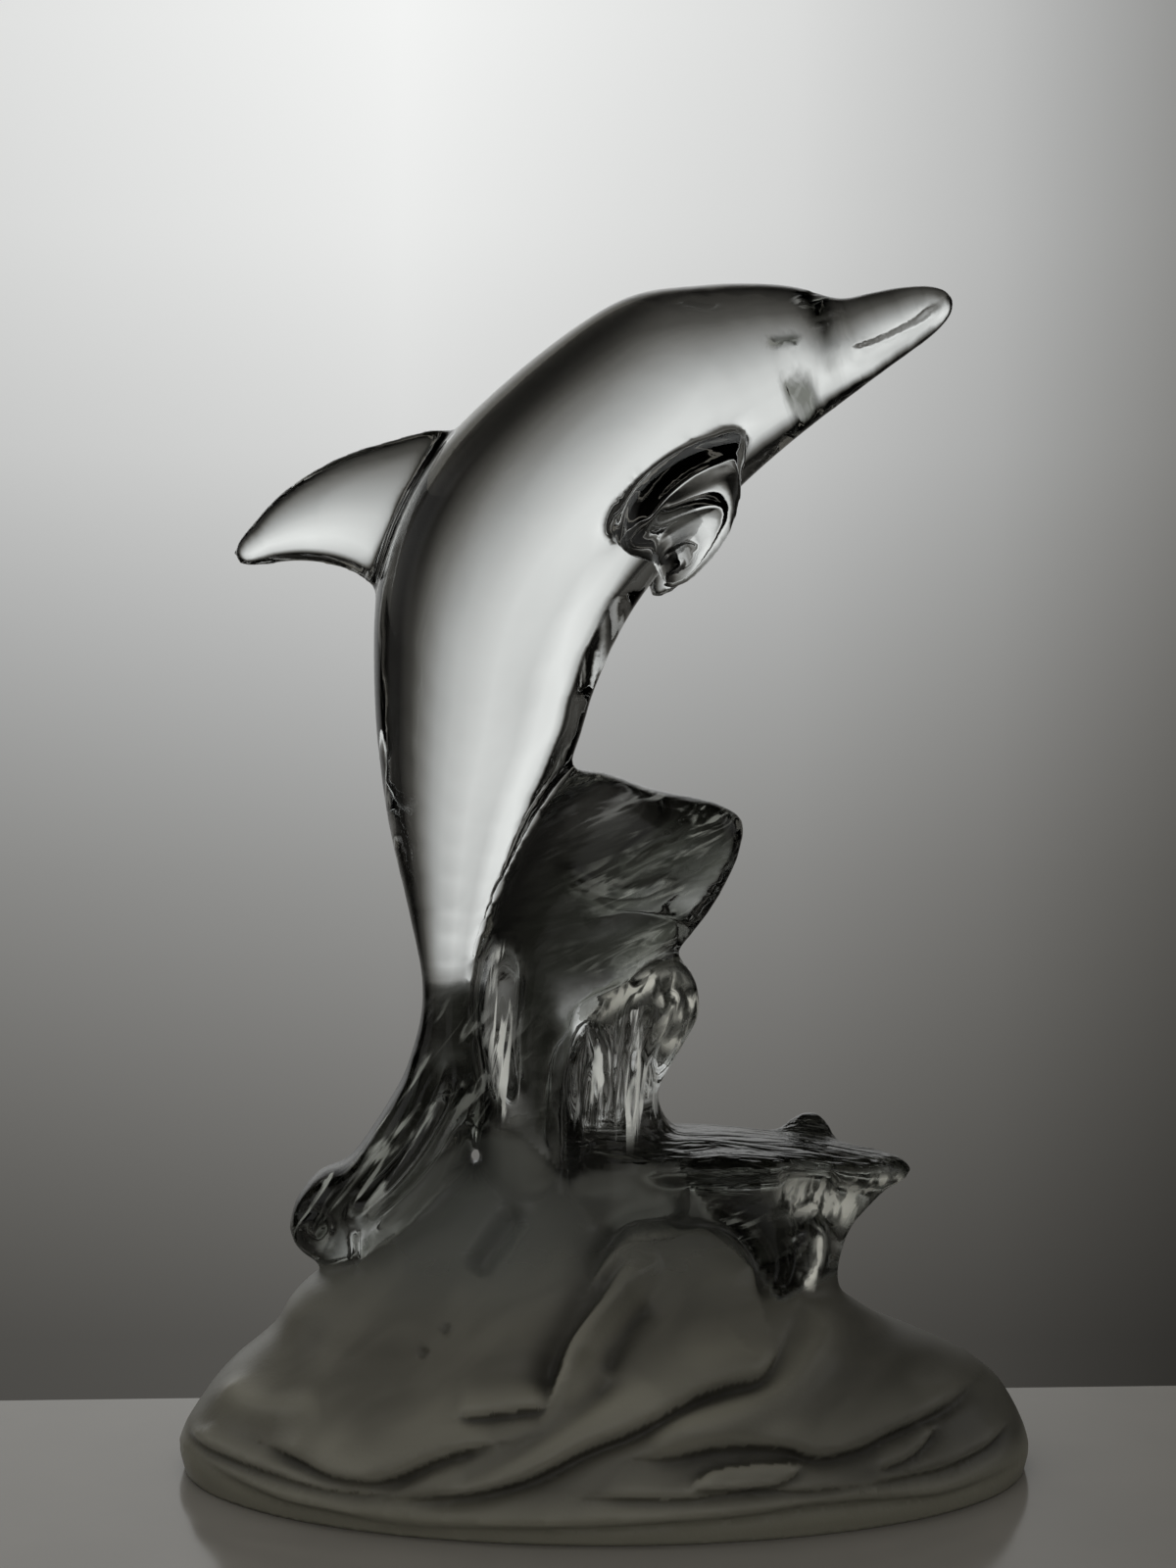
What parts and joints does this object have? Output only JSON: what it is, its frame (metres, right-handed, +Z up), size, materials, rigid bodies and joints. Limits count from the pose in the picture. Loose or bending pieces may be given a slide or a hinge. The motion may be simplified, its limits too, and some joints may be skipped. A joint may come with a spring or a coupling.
{
  "type": "dolphin figurine",
  "caption": "Clear moulded-glass dolphin leaping from a curling wave above a satin-etched oval water base, a free-standing ornament for a shelf",
  "frame": {"origin": "centre of the bounding box at its underside, which is the flat foot of the base", "axes": "+X the way the beak points, -X the back fin's side, -Y the front of the figurine, +Z up from the foot to the head"},
  "size_m": [0.144, 0.075, 0.1999],
  "materials": {
    "moulded_glass": "clear polished crystal glass on the dolphin and the wave, satin-etched, greyish and soft on the oval base"
  },
  "bodies": {
    "root": {"dolphin_figurine": "moulded_glass"}
  },
  "joints": []
}
